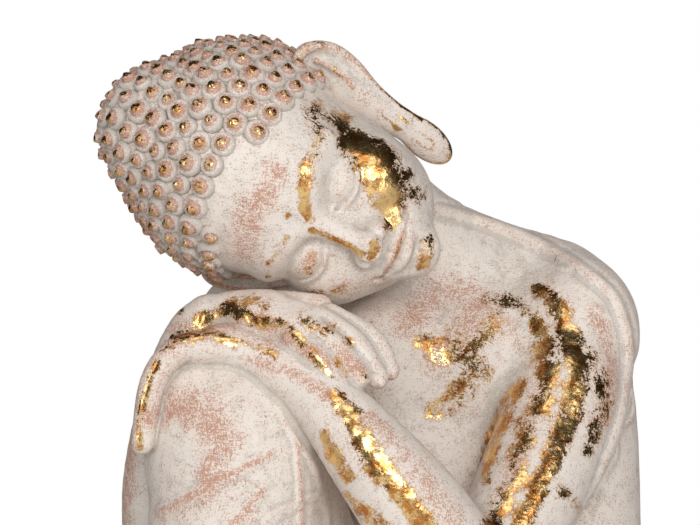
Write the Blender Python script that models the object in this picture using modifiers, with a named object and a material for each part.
"""Resting Buddha statue: cast stone sections bonded together over one steel rod.

The figure sits with its right knee raised, folds both arms over the knee and lays its
right cheek on the back of its right hand. Each section is a form of eggs and tapered limbs
that a Remesh modifier melts into one skin. A section gives way to those made before it, so
neighbours keep one bonding seam between them.

Axes: +Z up, the figure faces -Y, and its left side is +X.
"""

import math

import bmesh
import bpy
from mathutils import Euler, Matrix, Vector

MM = 0.001

# Overall sizes
HEIGHT = 486 * MM             # floor to the hair above the left ear
WIDTH = 334 * MM              # crown of the hair to the folded left knee
POSE_HEIGHT = 485             # the pose's points are written for a figure this high ...
POSE_WIDTH = 334              # ... and this wide, in millimetres
POSE_SHIFT = (-6, 26)         # centres the figure over the origin, along X and Y

# Casting
WALL = 9 * MM                 # wall of the hollow sections
SEAM = 0.3 * MM               # bonding seam between flat faces
SKIN_GAP = 1.2 * MM           # bonding seam between rounded skins, whose facets take some of it
COARSE_SKIN = 8 * MM          # edge length that a large section is melted at
FINE_SKIN = 4 * MM            # edge length that a hand, foot or ear is melted at
CORE_SKIN = 17 * MM           # edge length that a core is melted at
KEPT = 0.20                   # share of a skin's faces that it keeps

# Head, in its own frame: X to the figure's left, Y to the back, Z to the crown
HEAD_CENTRE = (-52, -35, 407)
HEAD_TILT = math.radians(72)  # rolled towards the right shoulder
HEAD_BOW = math.radians(18)   # crown leaning forward
HEAD_TURN = math.radians(18)  # face turned down to the hand
SKULL = (67 * MM, 78 * MM, 68 * MM)
TOPKNOT = 30 * MM
EAR_THICKNESS = 8 * MM

# Armature, closing plate and pads
ROD_RADIUS = 5 * MM
ROD_FIT = 0.4 * MM            # gap around the rod where it passes through a piece
WASHER_RADIUS = 13 * MM
WASHER_THICKNESS = 2 * MM
NUT_RADIUS = 9 * MM
NUT_HEIGHT = 7 * MM
PLATE_THICKNESS = 5 * MM
PLATE_INSET = 12 * MM         # plate edge inside the figure's outline
PAD_RADIUS = 13 * MM
PAD_THICKNESS = 3 * MM

# Levels that follow from them
PLATE_BOTTOM = PAD_THICKNESS + SEAM
PLATE_TOP = PLATE_BOTTOM + PLATE_THICKNESS
CAST_BOTTOM = PLATE_TOP + SEAM
SPREAD = WIDTH / POSE_WIDTH
RISE = (HEIGHT - CAST_BOTTOM) / (POSE_HEIGHT - 8)

PARTS = bpy.data.collections.new("buddha_statue")
CUTTERS = bpy.data.collections.new("cutters")


def at(x, y, z):
    """A place in the pose, in metres. Zero height is the underside of the casting."""
    shift_x, shift_y = POSE_SHIFT
    return Vector(((x + shift_x) * SPREAD, (y + shift_y) * SPREAD, CAST_BOTTOM + (z - 8) * RISE))


def head_at(x, y, z):
    """A place in the head's own frame, in metres."""
    return Vector((x, y, z)) * MM


# ---------------------------------------------------------------------- materials
def material(name, colour, roughness, metallic=0.0):
    """A Principled material."""
    made = bpy.data.materials.new(name)
    made.use_nodes = True
    shader = made.node_tree.nodes["Principled BSDF"]
    shader.inputs["Base Color"].default_value = (*colour, 1.0)
    shader.inputs["Roughness"].default_value = roughness
    shader.inputs["Metallic"].default_value = metallic
    return made


# ---------------------------------------------------------------------- forms
class Form:
    """Overlapping closed primitives, later melted into one skin."""

    def __init__(self, place=at, grow=0.0):
        self.mesh = bmesh.new()
        self.place = place
        self.grow = grow

    def egg(self, centre, radii, rotation=(0, 0, 0)):
        """An ellipsoid. Radii are in millimetres."""
        size = Vector([radius * MM + self.grow for radius in radii])
        turn = Euler([math.radians(angle) for angle in rotation])
        self.ball(self.place(*centre), size, turn)
        return self

    def ball(self, centre, size, turn=None):
        """An ellipsoid at a point, in metres."""
        frame = Matrix.LocRotScale(centre, turn, size)
        bmesh.ops.create_uvsphere(self.mesh, u_segments=24, v_segments=14, radius=1, matrix=frame)

    def limb(self, *stations):
        """Balls of the stations' radii (x, y, z, radius), with a tapered run between each two."""
        spots = [(self.place(x, y, z), radius * MM + self.grow) for x, y, z, radius in stations]
        for spot, radius in spots:
            self.ball(spot, Vector((radius,) * 3))
        for (start, first), (end, last) in zip(spots, spots[1:]):
            run = end - start
            turn = Vector((0, 0, 1)).rotation_difference(run)
            frame = Matrix.LocRotScale((start + end) / 2, turn, None)
            bmesh.ops.create_cone(self.mesh, cap_ends=True, segments=20, radius1=first,
                                  radius2=last, depth=run.length, matrix=frame)
        return self


def place_object(name, mesh, collection, parent=None):
    """Links a mesh as an object of a collection."""
    made = bpy.data.objects.new(name, mesh)
    collection.objects.link(made)
    made.parent = parent
    if collection == CUTTERS:
        made.hide_render = True
        made.display_type = 'WIRE'
    return made


def skin(name, form, edge, collection, parent=None, smooth=8, kept=KEPT):
    """An object that melts a form's lumps into one smooth skin, then thins its faces."""
    mesh = bpy.data.meshes.new(name)
    form.mesh.to_mesh(mesh)
    form.mesh.free()
    made = place_object(name, mesh, collection, parent)
    remesh = made.modifiers.new("Melt", 'REMESH')
    remesh.mode = 'VOXEL'
    remesh.voxel_size = edge
    if smooth:
        ease = made.modifiers.new("Ease", 'SMOOTH')
        ease.factor = 0.5
        ease.iterations = smooth
    if kept < 1:
        thin = made.modifiers.new("Thin", 'DECIMATE')
        thin.ratio = kept
    return made


def cutter_of(section):
    """A section's uncut skin, grown by the seam, that its neighbours are cut with."""
    made = section.copy()
    made.name = section.name + "_cutter"
    CUTTERS.objects.link(made)
    made.hide_render = True
    made.display_type = 'WIRE'
    for modifier in [m for m in made.modifiers if m.type == 'BOOLEAN']:
        made.modifiers.remove(modifier)
    grow = made.modifiers.new("Seam", 'DISPLACE')
    grow.mid_level = 0.0
    grow.strength = SKIN_GAP
    return made


def block(name, low, high, parent=None):
    """A box-shaped cutter between two corners."""
    mesh = bpy.data.meshes.new(name)
    cube = bmesh.new()
    size = high - low
    bmesh.ops.create_cube(cube, size=1, matrix=Matrix.LocRotScale((low + high) / 2, None, size))
    cube.to_mesh(mesh)
    cube.free()
    return place_object(name, mesh, CUTTERS, parent)


def cut(section, *cutters):
    """Takes the volume of one or more cutters out of a section."""
    tools = bpy.data.collections.new(section.name + "_tools")
    for cutter in cutters:
        tools.objects.link(cutter)
    boolean = section.modifiers.new("Cut", 'BOOLEAN')
    boolean.operation = 'DIFFERENCE'
    boolean.solver = 'EXACT'
    boolean.operand_type = 'COLLECTION'
    boolean.collection = tools


def islands_of(mesh):
    """The connected groups of a bmesh's vertices, the largest first."""
    left, islands = set(mesh.verts), []
    while left:
        island, edge = set(), [left.pop()]
        while edge:
            vert = edge.pop()
            island.add(vert)
            near = {link.other_vert(vert) for link in vert.link_edges} & left
            left -= near
            edge += near
        islands.append(island)
    return sorted(islands, key=len, reverse=True)


def drop_offcuts(section):
    """Bakes a section's modifiers and drops the crumbs that its cuts left loose."""
    graph = bpy.context.evaluated_depsgraph_get()
    mesh = bpy.data.meshes.new_from_object(section.evaluated_get(graph), depsgraph=graph)
    whole = bmesh.new()
    whole.from_mesh(mesh)
    for crumb in islands_of(whole)[1:]:
        bmesh.ops.delete(whole, geom=list(crumb), context='VERTS')
    whole.to_mesh(mesh)
    whole.free()
    return mesh


# ---------------------------------------------------------------------- the figure's forms
def right_hand_form():
    """Lies on the left wrist, under the cheek, with its fingers pointing down to the left."""
    form = Form().limb((-98, -72, 319, 16), (-66, -84, 325, 18), (-38, -94, 317, 17))
    for spread_y, spread_z, reach in ((-16, -9, 0), (-5, 0, 4), (7, 7, 4), (19, 10, -5)):
        form.limb((-42, -94 + spread_y, 316 + spread_z, 8),
                  (-16 + reach, -101 + spread_y, 306 + spread_z, 7.6),
                  (4 + reach, -106 + spread_y, 289 + spread_z, 6.8))
    return form


def left_hand_form():
    """Lies over the knee and hangs its fingers down the knee's outer side."""
    form = Form().limb((-52, -104, 293, 16), (-84, -98, 305, 16), (-108, -92, 300, 15))
    for step in range(4):
        form.limb((-106, -110 + 13 * step, 300, 8), (-124, -108 + 13 * step, 284, 8),
                  (-134, -104 + 13 * step, 250, 7))
    return form


def right_foot_form():
    """Stands under the raised knee."""
    form = Form().limb((-82, -96, 30, 24), (-84, -128, 24, 18), (-84, -146, 20, 14))
    for step in range(5):
        form.limb((-102 + 9 * step, -146, 17, 7), (-104 + 10 * step, -160 + 2 * step, 15, 6.5))
    return form


def left_foot_form():
    """Lies on its side in front of the body, under the folded leg."""
    form = Form().limb((4, -118, 34, 20), (-20, -126, 30, 18), (-34, -130, 26, 15))
    for step in range(4):
        form.limb((-34, -132, 20 + 7 * step, 7), (-45 + 2 * step, -134, 18 + 8 * step, 6))
    return form


def ear_form(side, lean):
    """A long ear, its lobe bending in to the jaw. side is 1 for the left ear, -1 for the right."""
    upper, middle, lobe = (side * 67, lean, 0, 12), (side * 54, lean, -46, 9), (side * 37, lean, -90, 11)
    form = Form(head_at).limb(upper, middle, lobe)
    form.egg((side * 66, lean + 4, -8), (EAR_THICKNESS / MM, 15, 26), (0, side * 12, 0))
    return form


def left_arm_form():
    """From the shoulder down to the elbow in the lap, then up over the raised knee."""
    form = Form().limb((126, 4, 308, 37), (115, -25, 268, 34), (90, -62, 216, 32), (60, -90, 168, 31))
    form.egg((123, 6, 316), (38, 38, 41))
    return form.limb((60, -92, 166, 31), (32, -108, 205, 29), (-6, -112, 250, 24),
                     (-34, -108, 280, 19), (-52, -104, 293, 16))


def right_arm_form():
    """From the shoulder down behind the raised knee, then up its outer side to the hand."""
    form = Form().limb((-70, 42, 316, 36), (-98, 18, 255, 31), (-119, -14, 194, 29))
    return form.limb((-117, -38, 245, 25), (-109, -58, 298, 20), (-98, -70, 318, 17),
                     (-119, -14, 194, 29))


def head_form(grow=0.0):
    """Skull, topknot, face and jaw, in the head's own frame."""
    form = Form(head_at, grow)
    skull = Vector(SKULL) + Vector((grow,) * 3)
    form.ball(head_at(0, 8, 28), skull)
    form.ball(head_at(0, 16, 86), Vector((TOPKNOT + grow,) * 3))
    form.egg((0, -18, -20), (55, 50, 62))
    return form.egg((0, -28, -64), (32, 32, 26))


def raised_leg_form(grow=0.0):
    """The robed right leg: thigh up to the knee, and the robe falling straight down."""
    form = Form(grow=grow).limb((-50, 22, 92, 56), (-62, -34, 180, 54), (-80, -72, 246, 50))
    return form.limb((-80, -76, 248, 49), (-79, -82, 200, 53), (-77, -86, 120, 55), (-75, -86, 0, 58))


def folded_leg_form(grow=0.0):
    """The robed left leg, folded flat with its shin crossing in front of the body."""
    form = Form(grow=grow).limb((104, -8, 72, 54), (124, -50, 62, 50), (118, -70, 56, 46))
    return form.limb((118, -74, 52, 44), (60, -102, 46, 38), (4, -116, 34, 26))


def torso_form(grow=0.0):
    """Body, neck, shoulders and the robe behind them."""
    form = Form(grow=grow)
    form.egg((12, 42, 58), (100, 72, 84)).egg((24, 32, 165), (76, 60, 85))
    form.egg((44, 32, 262), (80, 58, 82)).egg((40, -22, 40), (80, 60, 66))
    form.limb((-68, 42, 318, 36), (30, 38, 330, 40), (116, 25, 324, 38))
    form.limb((62, 40, 338, 38), (26, 18, 368, 33), (-10, 0, 398, 32))
    form.egg((78, -8, 292), (44, 26, 40)).egg((12, -8, 292), (44, 26, 40))
    form.egg((44, 66, 215), (104, 46, 150))
    return form.limb((118, 36, 314, 40), (120, 36, 230, 42), (112, 32, 120, 50), (104, 22, 45, 56))


# ---------------------------------------------------------------------- sections
STONE = ((0.78, 0.73, 0.69), 0.75)
GOLDEN_STONE = ((0.76, 0.66, 0.52), 0.5)


def section(name, form, edge, finish, gives_way=(), parent=None, smooth=8):
    """A stone section, cut clear of the sections that it gives way to."""
    made = skin(name, form, edge, PARTS, parent, smooth)
    made.data.materials.append(material(name + " finish", *finish))
    if gives_way:
        cut(made, *(CUTTERS.objects[other + "_cutter"] for other in gives_way))
    return made


def core_of(name, form, parent=None):
    """The core that a hollow section is cast around."""
    return skin(name + "_core", form, CORE_SKIN, CUTTERS, parent, smooth=2, kept=1)


def build_small_sections(ground):
    """Hands and feet: they keep their shape, and their neighbours give way to them."""
    cutter_of(section("right_hand", right_hand_form(), FINE_SKIN, GOLDEN_STONE, smooth=3))
    cutter_of(section("left_hand", left_hand_form(), FINE_SKIN, GOLDEN_STONE, ["right_hand"], smooth=3))
    for name, form in (("right_foot", right_foot_form()), ("left_foot", left_foot_form())):
        foot = section(name, form, FINE_SKIN, STONE, smooth=3)
        cutter_of(foot)
        cut(foot, ground)


def build_arms():
    """Two solid arms that give way to the hands."""
    hands = ["right_hand", "left_hand"]
    cutter_of(section("left_arm", left_arm_form(), COARSE_SKIN, GOLDEN_STONE, hands))
    cutter_of(section("right_arm", right_arm_form(), COARSE_SKIN, STONE, hands + ["left_arm"]))


def build_head(rod_hole):
    """Face and hair as two hollow halves that meet behind the hairline, with a solid ear each side.

    The rod ends behind the right ear, so the ears are cut clear of it as the halves are.
    """
    frame = bpy.data.objects.new("head_frame", None)
    PARTS.objects.link(frame)
    turn = (Matrix.Rotation(-HEAD_TILT, 3, 'Y') @ Matrix.Rotation(HEAD_BOW, 3, 'X')
            @ Matrix.Rotation(-HEAD_TURN, 3, 'Z'))
    frame.matrix_world = Matrix.LocRotScale(at(*HEAD_CENTRE), turn, None)
    near = ["right_hand", "right_arm"]
    for name, side, lean in (("left_ear", 1, 6), ("right_ear", -1, 16)):
        ear = section(name, ear_form(side, lean), FINE_SKIN, STONE, near, frame, smooth=2)
        cutter_of(ear)
        cut(ear, rod_hole)
    near += ["left_ear", "right_ear"]
    lean = math.radians(41)
    reach = 0.3
    for name, side in (("face_shell", 1), ("hair_shell", -1)):
        half = section(name, head_form(), COARSE_SKIN, STONE, parent=frame)
        if name == "face_shell":
            cutter_of(half).name = "head_cutter"
        low, high = sorted((-side * SEAM / 2, side * reach))
        plane = block(name + "_split", Vector((-reach, -reach, low)), Vector((reach, reach, high)), frame)
        plane.matrix_local = Matrix.LocRotScale(head_at(0, -8, 2), Euler((-lean, 0, 0)), None)
        cut(half, core_of(name, head_form(-WALL), frame), plane, rod_hole,
            *(CUTTERS.objects[other + "_cutter"] for other in near))


def build_body(ground, rod_hole):
    """Legs and torso: hollow sections, open at the bottom."""
    head_and_arms = ["left_arm", "right_arm", "left_hand", "right_hand", "head"]
    for name, form, gives_way in (
            ("raised_leg_shell", raised_leg_form, head_and_arms + ["right_foot", "left_foot"]),
            ("folded_leg_shell", folded_leg_form,
             ["left_arm", "raised_leg_shell", "right_foot", "left_foot"])):
        leg = section(name, form(), COARSE_SKIN, STONE)
        cutter_of(leg)
        cut(leg, core_of(name, form(-WALL)), ground,
            *(CUTTERS.objects[other + "_cutter"] for other in gives_way))
    others = ["raised_leg_shell", "folded_leg_shell", "right_foot", "left_foot", "left_ear", "right_ear"]
    split = at(0, 30, 0).y
    reach = 0.6
    for name, low, high in (("torso_front_shell", split - SEAM / 2, reach),
                            ("robe_back_shell", -reach, split + SEAM / 2)):
        half = section(name, torso_form(), COARSE_SKIN, STONE)
        plane = block(name + "_split", Vector((-reach, low, -reach)), Vector((reach, high, reach)))
        cut(half, core_of(name, torso_form(-WALL)), ground, plane, rod_hole,
            *(CUTTERS.objects[other + "_cutter"] for other in others + head_and_arms))


# ---------------------------------------------------------------------- armature, plate and pads
STEEL = ((0.55, 0.56, 0.57), 0.35, 1.0)
FELT = ((0.12, 0.12, 0.12), 0.95)
ROD_PATH = ((28, 45, 50), (28, 45, 180), (32, 43, 260), (42, 41, 310), (45, 35, 345), (26, 20, 370),
            (-8, 2, 392), (-34, -14, 403))
ROD_FOOT = (28, 45)
PLATE_OUTLINE = ((-20, -132), (60, -134), (120, -112), (150, -62), (150, 10), (130, 62), (60, 104),
                 (-30, 104), (-84, 60), (-96, 10), (-118, -40), (-124, -92), (-84, -132))
PADS = {"felt_pad_front_left": (112, -88), "felt_pad_front_right": (-92, -100),
        "felt_pad_back_left": (96, 62), "felt_pad_back_right": (-58, 52)}


def solid_of(curve_object, name, finish):
    """A curve made a plain closed mesh, as a part."""
    scene = bpy.context.evaluated_depsgraph_get()
    mesh = bpy.data.meshes.new_from_object(curve_object.evaluated_get(scene))
    bpy.data.objects.remove(curve_object)
    weld = bmesh.new()
    weld.from_mesh(mesh)
    bmesh.ops.remove_doubles(weld, verts=weld.verts, dist=1e-6)
    weld.to_mesh(mesh)
    weld.free()
    made = place_object(name, mesh, PARTS)
    mesh.materials.clear()
    mesh.materials.append(material(name + " finish", *finish))
    return made


def tube_along(name, points, radius, sides=3):
    """A smooth tube through points, as a curve object with filled ends."""
    curve = bpy.data.curves.new(name, 'CURVE')
    curve.dimensions = '3D'
    curve.bevel_depth = radius
    curve.bevel_resolution = sides
    curve.use_fill_caps = True
    curve.resolution_u = 4
    spline = curve.splines.new('BEZIER')
    spline.bezier_points.add(len(points) - 1)
    for spot, point in zip(spline.bezier_points, points):
        spot.co = point
        spot.handle_left_type = spot.handle_right_type = 'AUTO'
    return place_object(name, curve, PARTS)


def slab(name, outline, bottom, thickness):
    """A flat plate with a smooth outline, as a filled curve object."""
    curve = bpy.data.curves.new(name, 'CURVE')
    curve.dimensions = '2D'
    curve.fill_mode = 'BOTH'
    curve.extrude = thickness / 2
    curve.resolution_u = 4
    spline = curve.splines.new('BEZIER')
    spline.bezier_points.add(len(outline) - 1)
    spline.use_cyclic_u = True
    for spot, point in zip(spline.bezier_points, outline):
        spot.co = point
        spot.handle_left_type = spot.handle_right_type = 'AUTO'
    made = place_object(name, curve, PARTS)
    made.location.z = bottom + thickness / 2
    return made


def disc(name, centre, radius, bottom, height, collection, sides=32):
    """A cylinder standing on a level."""
    mesh = bpy.data.meshes.new(name)
    turned = bmesh.new()
    bmesh.ops.create_cone(turned, cap_ends=True, segments=sides, radius1=radius, radius2=radius,
                          depth=height)
    turned.to_mesh(mesh)
    turned.free()
    made = place_object(name, mesh, collection)
    made.location = (centre.x, centre.y, bottom + height / 2)
    return made


def build_rod():
    """The steel rod, its washer and nut. Returns the cutter for the holes it passes through."""
    foot = at(*ROD_FOOT, 0)
    foot.z = PLATE_BOTTOM
    route = [foot] + [at(*point) for point in ROD_PATH]
    solid_of(tube_along("spine_rod_curve", route, ROD_RADIUS), "spine_rod", STEEL)
    hole = solid_of(tube_along("rod_hole_curve", [foot - Vector((0, 0, 0.02))] + route[1:],
                               ROD_RADIUS + ROD_FIT), "rod_hole", STEEL)
    PARTS.objects.unlink(hole)
    CUTTERS.objects.link(hole)
    hole.hide_render = True
    hole.display_type = 'WIRE'
    washer_bottom = PLATE_TOP + SEAM
    nut_bottom = washer_bottom + WASHER_THICKNESS + SEAM
    for name, radius, bottom, height, sides in (
            ("rod_washer", WASHER_RADIUS, washer_bottom, WASHER_THICKNESS, 32),
            ("rod_nut", NUT_RADIUS, nut_bottom, NUT_HEIGHT, 6)):
        ring = disc(name, foot, radius, bottom, height, PARTS, sides)
        ring.data.materials.append(material(name + " finish", *STEEL))
        cut(ring, hole)
    return hole


def build_plate(hole):
    """The closing plate under the casting, and the felt pads it stands on."""
    centre = sum((Vector(corner) for corner in PLATE_OUTLINE), Vector((0, 0))) / len(PLATE_OUTLINE)
    outline = []
    for x, y in PLATE_OUTLINE:
        edge = at(x, y, 0)
        inward = (at(*centre, 0) - edge).normalized()
        edge += inward * PLATE_INSET
        outline.append((edge.x, edge.y, 0))
    plate = solid_of(slab("plate_curve", outline, 0, PLATE_THICKNESS), "base_plate", STONE)
    plate.location.z = PLATE_BOTTOM + PLATE_THICKNESS / 2
    cut(plate, hole)
    for name, (x, y) in PADS.items():
        pad = disc(name, at(x, y, 0), PAD_RADIUS, 0, PAD_THICKNESS, PARTS)
        pad.data.materials.append(material(name + " finish", *FELT))


def main():
    """Builds the statue."""
    for old in list(bpy.data.objects):
        bpy.data.objects.remove(old, do_unlink=True)
    for collection in (PARTS, CUTTERS):
        bpy.context.scene.collection.children.link(collection)
    reach = 0.6
    ground = block("ground", Vector((-reach, -reach, -reach)), Vector((reach, reach, CAST_BOTTOM)))
    hole = build_rod()
    build_plate(hole)
    build_small_sections(ground)
    build_arms()
    build_head(hole)
    build_body(ground, hole)
    sections = [part for part in PARTS.objects if any(m.type == 'BOOLEAN' for m in part.modifiers)]
    trimmed = [drop_offcuts(part) for part in sections]
    for part, mesh in zip(sections, trimmed):
        part.modifiers.clear()
        part.data = mesh


main()
